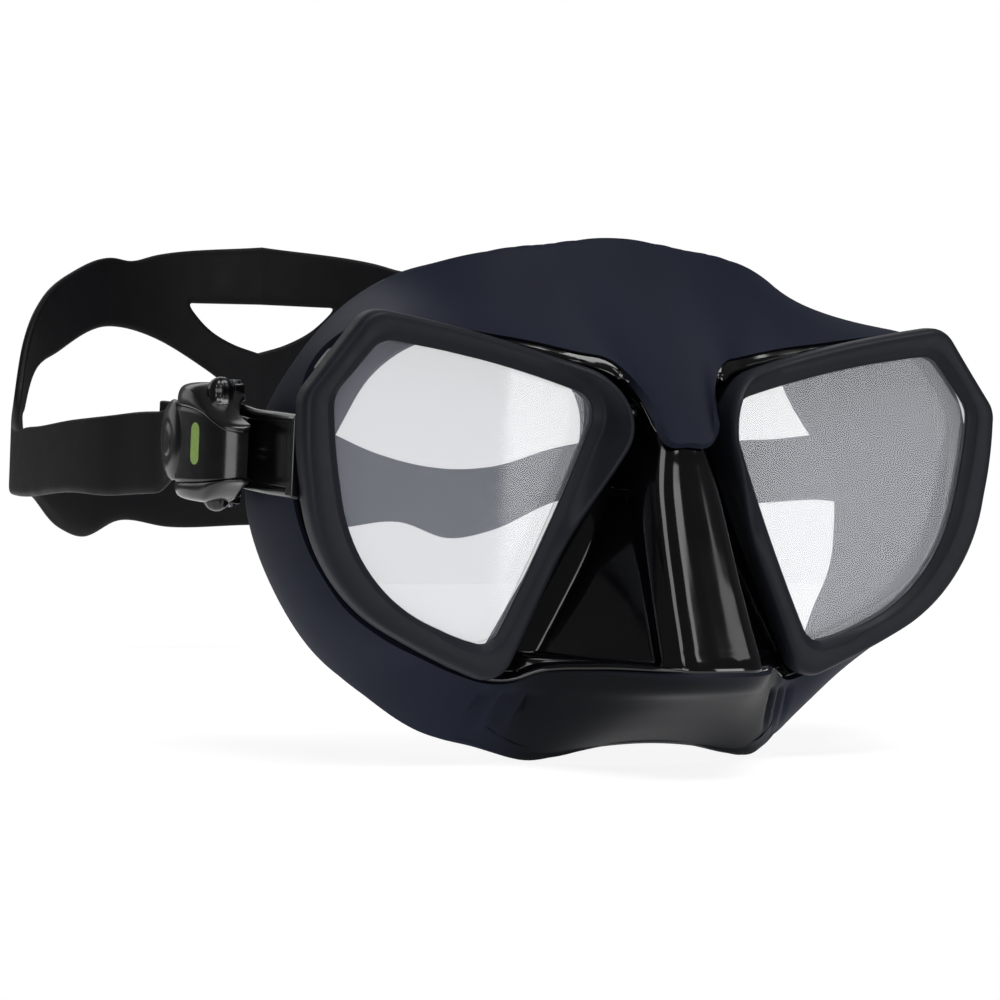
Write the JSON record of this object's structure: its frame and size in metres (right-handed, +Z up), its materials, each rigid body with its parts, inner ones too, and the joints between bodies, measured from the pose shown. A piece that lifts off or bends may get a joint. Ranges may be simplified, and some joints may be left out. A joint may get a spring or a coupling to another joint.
{
  "type": "diving mask",
  "caption": "Low-volume two-window diving mask with a silicone skirt, a nose pocket and a split strap on swivelling quick-adjust buckles.",
  "frame": {"origin": "midway between the two lenses, on the front face of the glass, where the bridge of the wearer's nose carries the mask", "axes": "+Z up, the mask looks along -Y, +X is the wearer's left"},
  "size_m": [0.1864, 0.2299, 0.1065],
  "materials": {
    "rim_plastic": "fine matte, blue-grey black",
    "frame_plastic": "matte black",
    "silicone": "satin matte silicone, with glossy side walls and nose pocket",
    "buckle_plastic": "polished black",
    "glass": "clear toughened glass",
    "steel": "stainless"
  },
  "bodies": {
    "mask": {"main_frame": "frame_plastic", "skirt": "silicone", "strap_back": "silicone", "rim_right": "rim_plastic", "lens_right": "glass", "fork_right": "buckle_plastic", "swivel_pin_right": "steel", "rim_left": "rim_plastic", "lens_left": "glass", "fork_left": "buckle_plastic", "swivel_pin_left": "steel"},
    "buckle_right": {"buckle_base_right": "buckle_plastic", "buckle_cover_right": "buckle_plastic", "pawl_pin_right": "steel", "roller_pin_right": "steel", "button_spring_right": "steel", "strap_tail_right": "silicone"},
    "upper_button_right": {"button_upper_right": "buckle_plastic"},
    "lower_button_right": {"button_lower_right": "buckle_plastic"},
    "strap_pawl_right": {"pawl_right": "buckle_plastic"},
    "strap_roller_right": {"roller_right": "buckle_plastic"},
    "buckle_left": {"buckle_base_left": "buckle_plastic", "buckle_cover_left": "buckle_plastic", "pawl_pin_left": "steel", "roller_pin_left": "steel", "button_spring_left": "steel", "strap_tail_left": "silicone"},
    "upper_button_left": {"button_upper_left": "buckle_plastic"},
    "lower_button_left": {"button_lower_left": "buckle_plastic"},
    "strap_pawl_left": {"pawl_left": "buckle_plastic"},
    "strap_roller_left": {"roller_left": "buckle_plastic"}
  },
  "joints": [
    {"name": "swivel_right", "type": "hinge", "parent": "mask", "child": "buckle_right", "pos_m": [-0.0808, 0.031, 0.0075], "axis": [0, 0, 1], "range_deg": [-18, 10], "deforming": ["strap_tail_right"]},
    {"name": "press_upper_right", "type": "slide", "parent": "buckle_right", "child": "upper_button_right", "axis": [0, 0, -1], "range_m": [0, 0.0015], "stiffness_N_per_m": 600, "springref_m": -0.0015, "deforming": ["button_spring_right"]},
    {"name": "press_lower_right", "type": "slide", "parent": "buckle_right", "child": "lower_button_right", "axis": [0, 0, 1], "range_m": [0, 0.0015], "stiffness_N_per_m": 600, "springref_m": -0.0015},
    {"name": "pawl_lift_right", "type": "hinge", "parent": "buckle_right", "child": "strap_pawl_right", "pos_m": [-0.0846, 0.0352, 0.0075], "axis": [0, 0, 1], "range_deg": [0, 12.1]},
    {"name": "roller_spin_right", "type": "hinge", "parent": "buckle_right", "child": "strap_roller_right", "pos_m": [-0.0846, 0.042, 0.0075], "axis": [0, 0, 1], "continuous": true},
    {"name": "swivel_left", "type": "hinge", "parent": "mask", "child": "buckle_left", "pos_m": [0.0808, 0.031, 0.0075], "axis": [0, 0, -1], "range_deg": [-18, 10], "deforming": ["strap_tail_left"]},
    {"name": "press_upper_left", "type": "slide", "parent": "buckle_left", "child": "upper_button_left", "axis": [0, 0, -1], "range_m": [0, 0.0015], "stiffness_N_per_m": 600, "springref_m": -0.0015, "deforming": ["button_spring_left"]},
    {"name": "press_lower_left", "type": "slide", "parent": "buckle_left", "child": "lower_button_left", "axis": [0, 0, 1], "range_m": [0, 0.0015], "stiffness_N_per_m": 600, "springref_m": -0.0015},
    {"name": "pawl_lift_left", "type": "hinge", "parent": "buckle_left", "child": "strap_pawl_left", "pos_m": [0.0846, 0.0352, 0.0075], "axis": [0, 0, -1], "range_deg": [0, 12.1]},
    {"name": "roller_spin_left", "type": "hinge", "parent": "buckle_left", "child": "strap_roller_left", "pos_m": [0.0846, 0.042, 0.0075], "axis": [0, 0, -1], "continuous": true}
  ],
  "couplings": [
    {"joint": "press_lower_right", "follows": "press_upper_right", "ratio": 1},
    {"joint": "pawl_lift_right", "follows": "press_upper_right", "rad_per_m": 139.6},
    {"joint": "press_lower_left", "follows": "press_upper_left", "ratio": 1},
    {"joint": "pawl_lift_left", "follows": "press_upper_left", "rad_per_m": 139.6}
  ]
}
